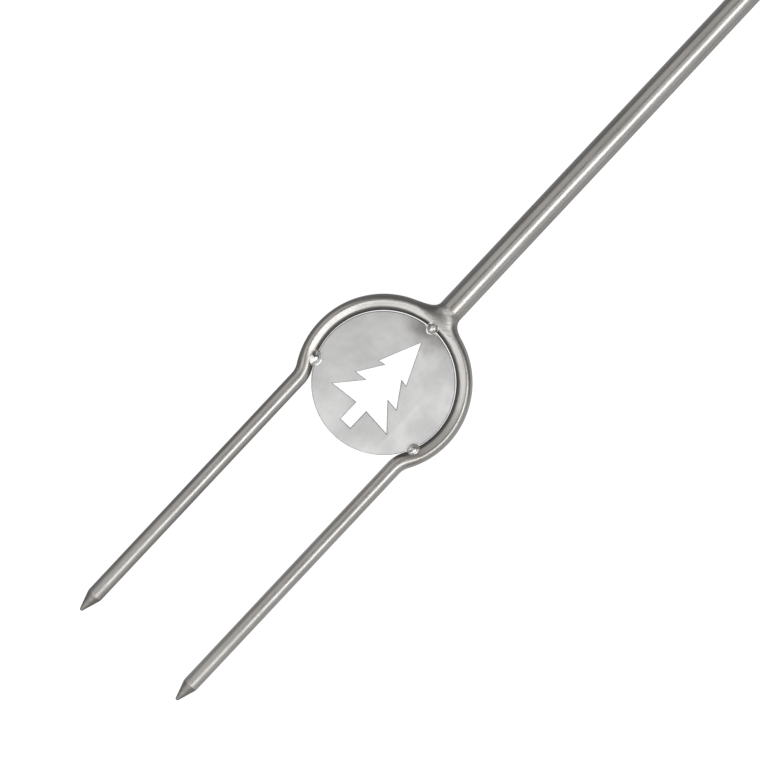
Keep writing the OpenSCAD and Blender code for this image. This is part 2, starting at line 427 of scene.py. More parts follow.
def make_tack(name, node):
    """A bead run into ring and disc."""
    place, tangent, out = tack_place(node)
    hole = shrink_hole(node)
    length, breadth, height = TACKS[node]["size"]

    def field(p):
        away = p - place
        t, o, z = away @ tangent, away @ out, away[..., 2]
        scaled = np.sqrt((t / length) ** 2 + (o / breadth) ** 2 + (z / height) ** 2)
        ripple = 0.03 * MM * np.sin(scaled * 13 + 2 * t / breadth)
        lump = 0.07 * MM * np.sin(3.1 * t / breadth + 1) * np.cos(2.6 * o / breadth)
        bead = (scaled - 1) * min(length, breadth, height) * 0.9 + ripple + lump
        from_hole = np.linalg.norm(p - hole, axis=-1) - TACKS[node]["hole_r"]
        bead = -blended(-bead, from_hole, 0.15 * MM)
        plates = np.minimum(ring_field(p), disc_field(p))
        weld = joined(plates, bead, 0.4 * MM, 9 * MM)
        weld = np.maximum(weld, -plates - 0.3 * MM)
        return np.maximum(weld, np.linalg.norm(away, axis=-1) - 2.1 * MM)

    return melted(name, field, place, (2.3 * MM,) * 3, 0.07 * MM)


def tree_outline():
    """A fir tree of three tiers on a trunk, its top towards -X, about the disc's middle."""
    tiers = 3
    overlap, notch = 0.42, 0.08
    tree_h, tree_w = 27 * MM, 18 * MM
    trunk_h, trunk_half = 5 * MM, 1.6 * MM
    tier_h = (tree_h - trunk_h) / (tiers - overlap * (tiers - 1))
    tops = [(-tree_h / 2 + i * tier_h * (1 - overlap), 0) for i in range(tiers)]
    boughs = [(x + tier_h, tree_w / 2 * (i + 2) / (tiers + 1)) for i, (x, _) in enumerate(tops)]
    notches = [(x + tier_h * (1 - notch), 0) for x, _ in tops]
    side = []
    for i in range(tiers - 1):
        side += [boughs[i], crossing_point(boughs[i], notches[i], tops[i + 1], boughs[i + 1])]
    trunk_end = (tree_h / 2, trunk_half)
    side += [boughs[-1], crossing_point(boughs[-1], notches[-1], trunk_end, (0, trunk_half)), trunk_end]
    return [tops[0]] + side + [(x, -y) for x, y in reversed(side)]


def make_disc():
    circle = np.linspace(0, 2 * math.pi, 240, endpoint=False)
    rim = [(disc_r * math.cos(a), disc_r * math.sin(a)) for a in circle]
    curve = bpy.data.curves.new("disc_outline", "CURVE")
    curve.dimensions = "2D"
    curve.fill_mode = "BOTH"
    curve.extrude = disc_half - DISC_EDGE
    curve.bevel_depth = DISC_EDGE
    curve.bevel_resolution = 3
    curve.offset = -DISC_EDGE
    for outline in (rim, tree_outline()):
        spline = curve.splines.new("POLY")
        spline.points.add(len(outline) - 1)
        spline.points.foreach_set("co", [c for x, y in outline for c in (x + disc_x, y, 0, 1)])
        spline.use_cyclic_u = True
    drawn = bpy.data.objects.new("disc_outline", curve)
    bpy.context.scene.collection.objects.link(drawn)
    settled = drawn.evaluated_get(bpy.context.evaluated_depsgraph_get())
    mesh = bpy.data.meshes.new_from_object(settled)
    bpy.data.objects.remove(drawn)
    work = bmesh.new()
    work.from_mesh(mesh)
    bmesh.ops.remove_doubles(work, verts=work.verts, dist=0.001 * MM)
    bmesh.ops.recalc_face_normals(work, faces=work.faces)
    work.to_mesh(mesh)
    work.free()
    mesh.materials.clear()
    return smooth_object("pierced_disc", mesh, sharp=25)


# ---- Bar and handle --------------------------------------------------------------------

def make_bar():
    edge = 0.3 * MM
    return turned("round_bar", [
        (tang_back, 0, 0), (tang_back, TANG_R, edge), (shoulder_x, TANG_R, 0),
        (shoulder_x, bar_r, edge), (bar_front - NECK_L, bar_r, edge), (bar_front, 2.1 * MM, 0),
        (bar_front, 0, 0),
    ])


def make_ferrule():
    """A hollow cup that starts and ends inside, where its bore meets the nose."""
    edge = 0.35 * MM
    bore_r = tenon_r + FIT_GAP
    nose_r = bar_r + NOSE_LIP
    start = (nose_back, TANG_R + FIT_GAP, 0)
    return turned("ferrule_cup", [
        start, (nose_back, bore_r, 0), (ferrule_back, bore_r, edge / 2),
        (ferrule_back, neck_r, edge), (nose_back, neck_r, edge), (ferrule_front, nose_r, edge),
        (ferrule_front, bar_r + FIT_GAP, 0), (shoulder_x, bar_r + FIT_GAP, 0),
        (shoulder_x, TANG_R + FIT_GAP, 0), start,
    ])


def make_pin():
    crown = 0.12 * MM
    return turned("cross_pin", [
        (-pin_top, 0, 0), (-pin_top + crown, pin_r, 2 * crown),
        (pin_top - crown, pin_r, 2 * crown), (pin_top, 0, 0),
    ], axis=Z_AXIS, beside=X_AXIS, origin=(pin_x, 0, 0))


def grip_radius(s):
    """Radius of the grip at a distance from the end cap: a round swell, then a slow run down."""
    grip_l = ferrule_back - cap_front
    if s < SWELL_AT:
        return cap_r + (grip_r - cap_r) * math.sin(math.pi / 2 * s / SWELL_AT)
    fall = math.pi * (s - SWELL_AT) / (grip_l - SWELL_AT)
    return neck_r + (grip_r - neck_r) / 2 * (1 + math.cos(fall))


def make_grip():
    edge = 0.5 * MM
    start = (cap_front, BORE_R, 0)
    outline = [start, (cap_front, cap_r, edge)]
    outline += [
        (cap_front + s, grip_radius(s), 0)
        for s in np.linspace(0, ferrule_back - cap_front, 90)[1:-1]
    ]
    outline += [
        (ferrule_back, neck_r, edge / 2), (ferrule_back, tenon_r, 0),
        (tenon_front, tenon_r, edge), (tenon_front, BORE_R, 0), start,
    ]
    return turned("turned_grip", outline)


def make_end_cap():
    edge = 0.4 * MM
    dish = 0.35 * MM
    start = (cap_front, TANG_R, 0)
    cap = turned("end_cap_button", [
        start, (cap_front, cap_r, edge), (cap_back, cap_r, CAP_EDGE), (cap_back, 0.55 * cap_r, edge),
        (cap_back + dish, 0.4 * cap_r, edge), (cap_back + dish, 0, 0), (tang_back, 0, 0),
        (tang_back, TANG_R, 0), start,
    ])
    hole_r = LOOP_WIRE_R + 0.06 * MM
    flare = 0.35 * MM
    for side in (1, -1):
        drill = turned("drill", [
            (cap_r - 4 * MM, 0, 0), (cap_r - 4 * MM, hole_r, 0), (cap_r - 1.2 * flare, hole_r, 0),
            (cap_r + flare, hole_r + 2 * flare, 0), (cap_r + flare, 0, 0),
        ], axis=side * Y_AXIS, beside=X_AXIS, origin=(pivot_x, 0, 0))
        cut = cap.modifiers.new("pivot_hole", "BOOLEAN")
        cut.object = drill
        cut.solver = "EXACT"
        settled = cap.evaluated_get(bpy.context.evaluated_depsgraph_get())
        mesh = bpy.data.meshes.new_from_object(settled)
        cap.modifiers.clear()
        cap.data = mesh
        bpy.data.objects.remove(drill)
    cap.data.name = "end_cap_button"
    cap.data.set_sharp_from_angle(angle=math.radians(30))
    return cap


def make_loop():
    """The hanging loop's line in its own plane, from one pivot end to the other, then drooped."""
    end = cap_r - PIVOT_DEPTH
    leg_l = loop_reach - leg_y
    quarter = np.linspace(0, math.pi / 2, 13)
    half_bow = np.linspace(0, math.pi / 2, 48)
    bend_at = leg_y - LOOP_BEND_R
    half = [(0, end), (0, end + 0.15 * MM), (0, (end + bend_at) / 2)]
    half += [
        (LOOP_BEND_R * (math.cos(a) - 1), bend_at + LOOP_BEND_R * math.sin(a)) for a in quarter
    ]
    half += [(-leg_l / 2, leg_y)]
    half += [(-leg_l - leg_y * math.sin(a), leg_y * math.cos(a)) for a in half_bow]
    line = np.array(half + [(x, -y) for x, y in reversed(half[:-1])])
    way = np.gradient(line, axis=0)
    way /= np.linalg.norm(way, axis=1)[:, None]
    angle = np.linspace(0, 2 * math.pi, AROUND // 3, endpoint=False)
    width = np.full(len(line), LOOP_WIRE_R)
    width[[0, -1]] *= 0.8
    down = Matrix.Rotation(-loop_droop, 3, "Y")
    rings = []
    for (x, y), (way_x, way_y), r in zip(line, way, width):
        side = np.array([-way_y, way_x, 0])
        ring = np.outer(r * np.cos(angle), side) + np.outer(r * np.sin(angle), Z_AXIS) + [x, y, 0]
        rings.append(ring @ np.array(down).T + [pivot_x, 0, 0])
    return tube("hanging_wire_loop", rings, along(line))


# ---- Node helpers ----------------------------------------------------------------------

def add(tree, kind, sockets=None, **settings):
    """A node with its settings, and its sockets linked or set by name or number."""
    made = tree.nodes.new(kind)
    for key, value in settings.items():
        setattr(made, key, value)
    for key, value in (sockets or {}).items():
        if isinstance(value, bpy.types.NodeSocket):
            tree.links.new(value, made.inputs[key])
        else:
            made.inputs[key].default_value = value
    return made


def maths(tree, operation, *values):
    return add(tree, "ShaderNodeMath", dict(enumerate(values)), operation=operation).outputs[0]


def stretched(tree, vector, x, y, z):
    """The vector with each part multiplied."""
    return add(tree, "ShaderNodeVectorMath", {0: vector, 1: (x, y, z)},
               operation="MULTIPLY").outputs[0]


def moved(tree, vector, x, y, z):
    """The vector with each part added to."""
    return add(tree, "ShaderNodeVectorMath", {0: vector, 1: (x, y, z)}, operation="ADD").outputs[0]


def rotated(tree, vector, angle):
    """The vector turned about Z."""
    return add(tree, "ShaderNodeVectorRotate", {"Vector": vector, "Angle": angle},
               rotation_type="Z_AXIS").outputs[0]


def distance(tree, a, b):
    return add(tree, "ShaderNodeVectorMath", {0: a, 1: b}, operation="DISTANCE").outputs["Value"]


def noise(tree, vector, scale=1.0, detail=3.0, rough=0.55):
    return add(tree, "ShaderNodeTexNoise", {
        "Vector": vector, "Scale": scale, "Detail": detail, "Roughness": rough,
    }).outputs["Fac"]


def ranged(tree, value, from_low, from_high, to_low=0.0, to_high=1.0):
    """The value moved smoothly from one range to another, and held inside it."""
    return add(tree, "ShaderNodeMapRange", {
        "Value": value, "From Min": from_low, "From Max": from_high,
        "To Min": to_low, "To Max": to_high,
    }, interpolation_type="SMOOTHSTEP").outputs["Result"]


def mixed(tree, factor, a, b):
    """Two colours mixed."""
    made = add(tree, "ShaderNodeMix", data_type="RGBA")
    for socket, value in (("Factor_Float", factor), ("A_Color", a), ("B_Color", b)):
        target = next(s for s in made.inputs if s.identifier == socket)
        if isinstance(value, bpy.types.NodeSocket):
            tree.links.new(value, target)
        else:
            target.default_value = value
    return next(s for s in made.outputs if s.identifier == "Result_Color")


def group(name, takes, gives, build):
    """A shader node group with named sockets. build gets the tree and its inputs by name, and
    returns its outputs by name."""
    tree = bpy.data.node_groups.new(name, "ShaderNodeTree")
    for socket, default in takes.items():
        kind = "NodeSocketVector" if isinstance(default, tuple) else "NodeSocketFloat"
        tree.interface.new_socket(socket, in_out="INPUT", socket_type=kind).default_value = default
    for socket in gives:
        tree.interface.new_socket(socket, in_out="OUTPUT", socket_type="NodeSocketFloat")
    source = tree.nodes.new("NodeGroupInput")
    result = tree.nodes.new("NodeGroupOutput")
    for socket, value in build(tree, source.outputs).items():
        tree.links.new(value, result.inputs[socket])
    return tree


def place_group(tree, shared, sockets):
    return add(tree, "ShaderNodeGroup", sockets, node_tree=shared).outputs


# ---- Shared effects --------------------------------------------------------------------

def build_streaks(tree, takes):
    """Fine lines that run along X of a vector in metres, in two widths."""
    place = takes["Place"]
    size = add(tree, "ShaderNodeCombineXYZ", {
        "X": maths(tree, "DIVIDE", 1.0, takes["Length"]),
        "Y": maths(tree, "DIVIDE", 1.0, takes["Width"]),
        "Z": maths(tree, "DIVIDE", 1.0, takes["Width"]),
    }).outputs[0]
    fine_place = add(tree, "ShaderNodeVectorMath", {0: place, 1: size},
                     operation="MULTIPLY").outputs[0]
    fine = noise(tree, fine_place, detail=4, rough=0.6)
    broad = noise(tree, stretched(tree, fine_place, 0.35, 0.22, 0.22), detail=2)
    both = maths(tree, "MULTIPLY_ADD", fine, 0.65, maths(tree, "MULTIPLY", broad, 0.35))
    return {"Streak": ranged(tree, both, 0.3, 0.7)}


def build_mottle(tree, takes):
    """Soft clouds, as rolling, pickling and handling leave them."""
    size = maths(tree, "DIVIDE", 1.0, takes["Size"])
    cloud = noise(tree, takes["Place"], scale=size, detail=2.5, rough=0.5)
    small = noise(tree, takes["Place"], scale=maths(tree, "MULTIPLY", size, 4.3), detail=3, rough=0.6)
    return {
        "Cloud": ranged(tree, cloud, 0.32, 0.68),
        "Speck": ranged(tree, small, 0.35, 0.72),
    }


def build_scratches(tree, takes):
    """Sparse thin handling scratches that cross each other."""
    marks = None
    for turn, seed in ((0.5, 0.0), (-0.7, 7.0), (1.3, 15.0)):
        shifted = moved(tree, rotated(tree, takes["Place"], turn), seed, seed, seed)
        line = noise(tree, stretched(tree, shifted, 120, 4200, 4200), detail=1)
        where = noise(tree, stretched(tree, shifted, 160, 160, 160), detail=1)
        both = maths(tree, "MULTIPLY", ranged(tree, line, 0.69, 0.76), ranged(tree, where, 0.5, 0.66))
        marks = both if marks is None else maths(tree, "MAXIMUM", marks, both)
    return {"Scratch": maths(tree, "MULTIPLY", marks, takes["Amount"])}


def build_edge_wear_and_shade(tree, takes):
    """Where an edge bends within a radius, unevenly: rubbed edges on most parts, and painted shade
    along the disc's edges.
    """
    soft = add(tree, "ShaderNodeBevel", {"Radius": takes["Radius"]}, samples=4).outputs[0]
    true = add(tree, "ShaderNodeNewGeometry").outputs["Normal"]
    same = add(tree, "ShaderNodeVectorMath", {0: soft, 1: true},
               operation="DOT_PRODUCT").outputs["Value"]
    bent = ranged(tree, same, 0.995, 0.9)
    uneven = noise(tree, takes["Place"], scale=900.0, detail=3)
    return {"Edge": maths(tree, "MULTIPLY", bent, ranged(tree, uneven, 0.3, 0.6, 0.35, 1.0))}


def build_heat(tree, takes):
    """How much heat a place took from a weld, in uneven bands that fade over a reach."""
    away = distance(tree, takes["Place"], takes["Weld"])
    wander = noise(tree, takes["Place"], scale=260.0, detail=2)
    away = maths(tree, "MULTIPLY_ADD", maths(tree, "SUBTRACT", wander, 0.5),
                 maths(tree, "MULTIPLY", takes["Reach"], 0.8), away)
    near = maths(tree, "SUBTRACT", 1.0, maths(tree, "DIVIDE", away, takes["Reach"]))
    return {"Heat": ranged(tree, near, 0.0, 1.0)}


def build_grinding(tree, takes):
    """Short coarse lines left by a belt or wheel, which run along X of the place."""
    coarse = noise(tree, stretched(tree, takes["Place"], 260, 3400, 3400), detail=3, rough=0.65)
    fine = noise(tree, stretched(tree, takes["Place"], 500, 9000, 9000), detail=2)
    both = maths(tree, "MULTIPLY_ADD", coarse, 0.7, maths(tree, "MULTIPLY", fine, 0.3))
    return {"Grind": ranged(tree, both, 0.34, 0.66)}


STREAKS = group("drawn_streaks", {"Place": (0, 0, 0), "Length": 0.02, "Width": 0.0003},
                ["Streak"], build_streaks)
MOTTLE = group("soft_mottle", {"Place": (0, 0, 0), "Size": 0.01}, ["Cloud", "Speck"], build_mottle)
SCRATCHES = group("handling_scratches", {"Place": (0, 0, 0), "Amount": 1.0},
                  ["Scratch"], build_scratches)
EDGE_WEAR_AND_SHADE = group("edge_wear_and_shade", {"Place": (0, 0, 0), "Radius": 0.0003}, ["Edge"], build_edge_wear_and_shade)
HEAT = group("weld_heat", {"Place": (0, 0, 0), "Weld": (0, 0, 0), "Reach": 0.004}, ["Heat"], build_heat)
GRINDING = group("grinding_lines", {"Place": (0, 0, 0)}, ["Grind"], build_grinding)

STEEL = (0.62, 0.605, 0.585, 1)
STEEL_DARK = (0.5, 0.485, 0.465, 1)
STEEL_BRIGHT = (0.74, 0.73, 0.715, 1)
STRAW = (0.56, 0.46, 0.34, 1)
SMOKE = (0.33, 0.31, 0.3, 1)


def new_material(name):
    """A metal material with its tree, its Principled node and its place on the object."""
    material = bpy.data.materials.new(name)
    material.use_nodes = True
    tree = material.node_tree
    shader = tree.nodes["Principled BSDF"]
    shader.inputs["Metallic"].default_value = 1.0
    return material, tree, shader, add(tree, "ShaderNodeTexCoord").outputs["Object"]


def run_place(tree):
    """Distances along and around a tube, from its "run" map."""
    return add(tree, "ShaderNodeUVMap", uv_map="run").outputs["UV"]


def finish_with(tree, shader, colour, roughness, heights, depth):
    """Feeds colour, roughness and a summed height of (value, share) pairs to a shader."""
    total = None
    for value, share in heights:
        part = maths(tree, "MULTIPLY", value, share)
        total = part if total is None else maths(tree, "ADD", total, part)
    bump = add(tree, "ShaderNodeBump", {"Height": total, "Strength": 1.0, "Distance": depth})
    tree.links.new(colour, shader.inputs["Base Color"])
    tree.links.new(roughness, shader.inputs["Roughness"])
    tree.links.new(bump.outputs[0], shader.inputs["Normal"])


def weld_places():
    """The middle of each weld, from the frame."""
    found = {}
    for node in ("shaft_weld", "tack_weld_rear", "tack_weld_left", "tack_weld_right"):
        low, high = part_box(node)
        found[node] = tuple((low + high) / 2)
    return found


def heated(tree, place, colour, welds, reach):
    """The colour with straw and smoke tints around welds."""
    total = None
    for weld in welds:
        heat = place_group(tree, HEAT, {"Place": place, "Weld": weld, "Reach": reach})["Heat"]
        total = heat if total is None else maths(tree, "MAXIMUM", total, heat)
    straw = ranged(tree, total, 0.05, 0.5, 0.0, 0.16)
    smoke = ranged(tree, total, 0.4, 0.95, 0.0, 0.3)
    return mixed(tree, smoke, mixed(tree, straw, colour, STRAW), SMOKE)


def inner_gap_shade(tree, place):
    """Painted shade on the inner side of the ring, darkening towards the disc's rim."""
    away = distance(tree, stretched(tree, place, 1, 1, 0), (ring_x, 0, 0))
    uneven = noise(tree, place, scale=300.0, detail=2)
    away = maths(tree, "MULTIPLY_ADD", uneven, 0.5 * MM, away)
    return ranged(tree, away, RING_R - 0.28 * wire_r, RING_R - 0.62 * wire_r, 0.0, 0.8)


def drawn_parts(name, bent, width, roughness):
    """Drawn round stock with lines along its length: its material and what feeds its shader.
    Straight stock runs along X, and bent stock along its "run" map."""
    material, tree, shader, place = new_material(name)
    along_place = run_place(tree) if bent else place
    streak = place_group(tree, STREAKS, {
        "Place": along_place, "Length": 0.03, "Width": width,
    })["Streak"]
    mottle = place_group(tree, MOTTLE, {"Place": place, "Size": 0.012})
    scratch = place_group(tree, SCRATCHES, {"Place": along_place, "Amount": 1.0})["Scratch"]
    colour = mixed(tree, streak, STEEL_DARK, STEEL)
    colour = mixed(tree, maths(tree, "MULTIPLY", mottle["Cloud"], 0.3), colour, STEEL_BRIGHT)
    colour = mixed(tree, maths(tree, "MULTIPLY", scratch, 0.5), colour, STEEL_BRIGHT)
    rough = ranged(tree, streak, 0, 1, roughness + 0.05, roughness - 0.03)
    rough = maths(tree, "MULTIPLY_ADD", mottle["Speck"], 0.06, rough)
    heights = [(streak, 0.8), (mottle["Speck"], 0.25), (scratch, -0.8)]
    return material, tree, shader, place, colour, rough, heights


DRAWN_DEPTH = 0.0022 * MM


def wire_steel():
    """The head's wire, tinted by its welds, with painted shade inside the ring and ground at its
    points.
    """
    parts = drawn_parts("wire_steel", True, 0.00028, 0.27)
    material, tree, shader, place, colour, rough, heights = parts
    colour = heated(tree, place, colour, list(weld_places().values()), 0.005)
    # Painted shade: the ring's inner side darkened nearly to black where it meets the disc.
    gap_shade = inner_gap_shade(tree, place)
    colour = mixed(tree, gap_shade, colour, (0.09, 0.085, 0.08, 1))
    rough = maths(tree, "MULTIPLY_ADD", gap_shade, 0.2, rough)
    x = add(tree, "ShaderNodeSeparateXYZ", {0: place}).outputs["X"]
    point = maths(tree, "GREATER_THAN", x, prong_tip - POINT_L)
    grind = place_group(tree, GRINDING, {"Place": rotated(tree, place, 1.2)})["Grind"]
    ground = mixed(tree, grind, (0.3, 0.285, 0.265, 1), (0.46, 0.445, 0.42, 1))
    colour = mixed(tree, point, colour, ground)
    fired = ranged(tree, x, prong_tip - 50 * MM, prong_tip, 0.0, 0.12)
    rough = maths(tree, "ADD", rough, maths(tree, "MULTIPLY_ADD", point, 0.12, fired))
    heights.append((maths(tree, "MULTIPLY", grind, point), 1.6))
    finish_with(tree, shader, colour, rough, heights, DRAWN_DEPTH)
    return material


def bar_steel():
    """The bar, tinted where it was welded to the ring."""
    parts = drawn_parts("bar_steel", False, 0.00035, 0.25)
    material, tree, shader, place, colour, rough, heights = parts
    colour = heated(tree, place, colour, [weld_places()["shaft_weld"]], 0.008)
    finish_with(tree, shader, colour, rough, heights, DRAWN_DEPTH)
    return material


def loop_steel():
    """The hanging loop's bright thin wire."""
    parts = drawn_parts("loop_steel", True, 0.00018, 0.22)
    material, tree, shader, _, colour, rough, heights = parts
    finish_with(tree, shader, colour, rough, heights, DRAWN_DEPTH)
    return material


def sheet_steel():
    """Satin rolled sheet with soft clouds, edges darkened as painted shade, and tints by the tack
    welds.
    """
    material, tree, shader, place = new_material("sheet_steel")
    grain = place_group(tree, STREAKS, {
        "Place": place, "Length": 0.006, "Width": 0.00035,
    })["Streak"]
    mottle = place_group(tree, MOTTLE, {"Place": place, "Size": 0.011})
    scratch = place_group(tree, SCRATCHES, {"Place": place, "Amount": 1.0})["Scratch"]
    edge = place_group(tree, EDGE_WEAR_AND_SHADE, {"Place": place, "Radius": 0.4 * MM})["Edge"]
    colour = mixed(tree, mottle["Cloud"], (0.76, 0.76, 0.76, 1), (0.9, 0.9, 0.895, 1))
    colour = mixed(tree, maths(tree, "MULTIPLY", grain, 0.3), colour, (0.95, 0.95, 0.945, 1))
    colour = mixed(tree, maths(tree, "MULTIPLY", mottle["Speck"], 0.15), colour, STEEL_DARK)
    colour = mixed(tree, maths(tree, "MULTIPLY", scratch, 0.35), colour, (0.85, 0.85, 0.84, 1))
    welds = weld_places()
    side_tacks = [welds["tack_weld_left"], welds["tack_weld_right"]]
    colour = heated(tree, place, colour, side_tacks, 0.003)
    rear = place_group(tree, HEAT, {
        "Place": place, "Weld": welds["tack_weld_rear"], "Reach": 0.009,
    })["Heat"]
    colour = mixed(tree, maths(tree, "MULTIPLY", rear, 0.9), colour, SMOKE)
    # Painted shade: the disc's broken edges darkened into a dark line round the rim and the cut-out.
    colour = mixed(tree, edge, colour, (0.24, 0.23, 0.22, 1))
    rough = ranged(tree, mottle["Cloud"], 0, 1, 0.64, 0.56)
    rough = maths(tree, "MULTIPLY_ADD", edge, -0.1, rough)
    heights = [(mottle["Cloud"], 6.0), (grain, 0.8), (mottle["Speck"], 0.5), (scratch, -0.8)]
    finish_with(tree, shader, colour, rough, heights, 0.002 * MM)
    return material


def crater_mask(tree, place):
    """Where the shrink holes of the beads are."""
    total = None
    for node in TACKS:
        hole_r = TACKS[node]["hole_r"]
        away = distance(tree, place, tuple(shrink_hole(node)))
        inside = ranged(tree, away, hole_r * 1.12, hole_r * 0.85)
        total = inside if total is None else maths(tree, "MAXIMUM", total, inside)
    return total


def weld_steel():
    """Bright frozen beads, rippled, with painted shade darkening their shrink holes."""
    material, tree, shader, place = new_material("weld_steel")
    mottle = place_group(tree, MOTTLE, {"Place": place, "Size": 0.0012})
    edge = place_group(tree, EDGE_WEAR_AND_SHADE, {"Place": place, "Radius": 0.2 * MM})["Edge"]
    colour = mixed(tree, mottle["Cloud"], (0.84, 0.835, 0.82, 1), (0.97, 0.965, 0.955, 1))
    colour = mixed(tree, maths(tree, "MULTIPLY", mottle["Speck"], 0.2), colour, SMOKE)
    # Painted shade: the shrink holes darkened nearly to black.
    hole_shade = maths(tree, "MULTIPLY", crater_mask(tree, place), 0.85)
    colour = mixed(tree, hole_shade, colour, (0.1, 0.09, 0.085, 1))
    colour = mixed(tree, maths(tree, "MULTIPLY", edge, 0.4), colour, (0.97, 0.965, 0.955, 1))
    rough = ranged(tree, mottle["Speck"], 0, 1, 0.24, 0.4)
    rough = maths(tree, "MULTIPLY_ADD", hole_shade, 0.3, rough)
    heights = [(mottle["Cloud"], 5.0), (mottle["Speck"], 1.5)]
    finish_with(tree, shader, colour, rough, heights, 0.006 * MM)
    return material


def ground_steel():
    """Weld metal ground back with a wheel, its lines across the joint."""
    material, tree, shader, place = new_material("ground_steel")
    across = rotated(tree, place, math.radians(62))
    grind = place_group(tree, GRINDING, {"Place": across})["Grind"]
    mottle = place_group(tree, MOTTLE, {"Place": place, "Size": 0.004})
    edge = place_group(tree, EDGE_WEAR_AND_SHADE, {"Place": place, "Radius": 0.4 * MM})["Edge"]
    colour = mixed(tree, grind, (0.36, 0.35, 0.335, 1), (0.6, 0.59, 0.575, 1))
    colour = mixed(tree, maths(tree, "MULTIPLY", mottle["Cloud"], 0.4), colour, (0.4, 0.39, 0.375, 1))
    colour = mixed(tree, maths(tree, "MULTIPLY", edge, 0.4), colour, STEEL_BRIGHT)
    rough = ranged(tree, grind, 0, 1, 0.42, 0.3)
    heights = [(grind, 1.0), (mottle["Cloud"], 3.0), (mottle["Speck"], 0.6)]
    finish_with(tree, shader, colour, rough, heights, 0.0035 * MM)
    return material


def turned_steel():
    """Lathe-turned steel: fine lines around the axis, fingermarks, and rubbed edges."""
    material, tree, shader, place = new_material("turned_steel")
    around = rotated(tree, run_place(tree), math.pi / 2)
    lathe = place_group(tree, STREAKS, {
        "Place": around, "Length": 0.03, "Width": 0.00016,
    })["Streak"]
    mottle = place_group(tree, MOTTLE, {"Place": place, "Size": 0.006})
    scratch = place_group(tree, SCRATCHES, {"Place": place, "Amount": 1.0})["Scratch"]
    edge = place_group(tree, EDGE_WEAR_AND_SHADE, {"Place": place, "Radius": 0.35 * MM})["Edge"]
    colour = mixed(tree, lathe, STEEL, STEEL_BRIGHT)
    colour = mixed(tree, maths(tree, "MULTIPLY", mottle["Cloud"], 0.35), colour, STEEL_DARK)
    colour = mixed(tree, maths(tree, "MULTIPLY", edge, 0.7), colour, (0.86, 0.85, 0.84, 1))
    rough = ranged(tree, mottle["Cloud"], 0, 1, 0.2, 0.32)
    rough = maths(tree, "MULTIPLY_ADD", scratch, 0.15, rough)
    heights = [(lathe, 1.0), (mottle["Speck"], 0.3), (scratch, -1.0)]
    finish_with(tree, shader, colour, rough, heights, 0.002 * MM)
    return material


def oiled_wood():
    """Oiled beech: faint year rings, short dark rays and pores along the grain, and wear."""
    material, tree, shader, place = new_material("oiled_wood")
    # The blank was sawn a little off the tree's middle, and its rings wander along it.
    wander = noise(tree, stretched(tree, place, 9, 60, 60), detail=2)
    shifted = moved(tree, place, 0.0, 0.031, 0.012)
    bent = maths(tree, "MULTIPLY", maths(tree, "SUBTRACT", wander, 0.5), 0.006)
    split = add(tree, "ShaderNodeSeparateXYZ", {0: shifted}).outputs
    radius = maths(tree, "SQRT", maths(
        tree, "ADD", maths(tree, "MULTIPLY", split["Y"], split["Y"]),
        maths(tree, "MULTIPLY", split["Z"], split["Z"])))
    phase = maths(tree, "MULTIPLY", maths(tree, "ADD", radius, bent), 520.0)
    year = maths(tree, "FRACT", phase)
    late = maths(tree, "MULTIPLY", ranged(tree, year, 0.25, 0.93), ranged(tree, year, 1.0, 0.93))
    fibre = place_group(tree, STREAKS, {"Place": place, "Length": 0.014, "Width": 0.0003})["Streak"]
    pore_field = noise(tree, stretched(tree, place, 420, 5200, 5200), detail=1)
    pore = ranged(tree, pore_field, 0.68, 0.76)
    fleck = ranged(tree, noise(tree, stretched(tree, place, 260, 900, 5200), detail=1), 0.64, 0.72)
    mottle = place_group(tree, MOTTLE, {"Place": place, "Size": 0.03})
    edge = place_group(tree, EDGE_WEAR_AND_SHADE, {"Place": place, "Radius": 0.8 * MM})["Edge"]
    pale, mid, dark = (0.42, 0.215, 0.095, 1), (0.3, 0.135, 0.052, 1), (0.13, 0.052, 0.02, 1)
    colour = mixed(tree, maths(tree, "MULTIPLY", late, 0.75), pale, mid)
    colour = mixed(tree, maths(tree, "MULTIPLY", fibre, 0.35), colour, mid)
    colour = mixed(tree, maths(tree, "MULTIPLY", fleck, 0.5), colour, dark)
    colour = mixed(tree, maths(tree, "MULTIPLY", pore, 0.75), colour, dark)
    colour = mixed(tree, maths(tree, "MULTIPLY", mottle["Cloud"], 0.3), colour, dark)
    colour = mixed(tree, maths(tree, "MULTIPLY", edge, 0.35), colour, (0.52, 0.32, 0.17, 1))
    rough = ranged(tree, fibre, 0, 1, 0.38, 0.5)
    rough = maths(tree, "MULTIPLY_ADD", mottle["Cloud"], 0.08, rough)
    heights = [(fibre, 0.6), (pore, -2.0), (late, 0.35)]
    finish_with(tree, shader, colour, rough, heights, 0.02 * MM)
    shader.inputs["Metallic"].default_value = 0.0
    shader.inputs["Coat Weight"].default_value = 0.15
    shader.inputs["Coat Roughness"].default_value = 0.3
    return material


# ---- Studio ----------------------------------------------------------------------------

